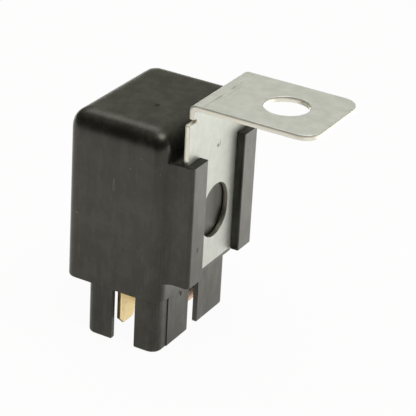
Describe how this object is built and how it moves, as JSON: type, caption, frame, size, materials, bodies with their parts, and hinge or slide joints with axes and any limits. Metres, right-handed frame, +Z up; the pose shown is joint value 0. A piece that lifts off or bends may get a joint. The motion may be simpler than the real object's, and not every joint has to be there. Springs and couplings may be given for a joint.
{
  "type": "automotive relay",
  "caption": "Changeover relay in a black moulded cover with side rails that hold a bent steel mounting bracket; blade terminals inside a slotted shroud underneath.",
  "frame": {"origin": "on the floor under the feet, in the middle of the whole relay's plan, bracket included", "axes": "+X from the cover towards the bracket's flange, +Y along the long side of the cover, +Z up through the fixing hole"},
  "size_m": [0.0566, 0.0342, 0.0602],
  "materials": {
    "cover": "black moulded polyamide, fine texture",
    "base": "black moulded polyamide",
    "seal": "dark potting resin",
    "bracket": "zinc plated sheet steel, passivated",
    "terminal": "bare stamped brass",
    "coil_terminal": "copper-rich brass, stamped",
    "contact": "silver alloy contact rivet",
    "leaf": "phosphor bronze leaf",
    "rivet": "upset rivet",
    "iron": "nickel-plated soft iron",
    "bobbin": "natural polyamide",
    "winding": "enamelled copper wire",
    "tape": "polyester tape",
    "resistor": "lacquered resistor",
    "spring": "spring wire",
    "braid": "copper braid"
  },
  "bodies": {
    "relay": {"cover": "cover", "base": "base", "seal": "seal", "terminal_common": "terminal", "terminal_make": "terminal", "terminal_break": "terminal", "terminal_coil_a": "coil_terminal", "terminal_coil_b": "coil_terminal", "make_contact": "contact", "break_contact": "contact", "yoke": "iron", "yoke_rivet": "rivet", "core": "iron", "bobbin": "bobbin", "winding": "winding", "coil_tape": "tape", "lead_a": "winding", "lead_b": "winding", "resistor": "resistor", "return_spring": "spring", "pigtail": "braid"},
    "armature": {"armature": "iron", "contact_arm": "leaf", "arm_rivets": "rivet", "moving_contact": "contact"},
    "bracket": {"bracket": "bracket"}
  },
  "joints": [
    {"name": "armature_hinge", "type": "hinge", "parent": "relay", "child": "armature", "pos_m": [-0.01575, -0.01275, 0.04465], "axis": [1, 0, 0], "range_deg": [-3, 0], "stiffness_Nm_per_rad": 0.02, "springref_deg": 14.32, "deforming": ["return_spring", "pigtail"]},
    {"name": "bracket_slide", "type": "slide", "parent": "relay", "child": "bracket", "axis": [0, 0, 1], "range_m": [0, 0.03]}
  ]
}
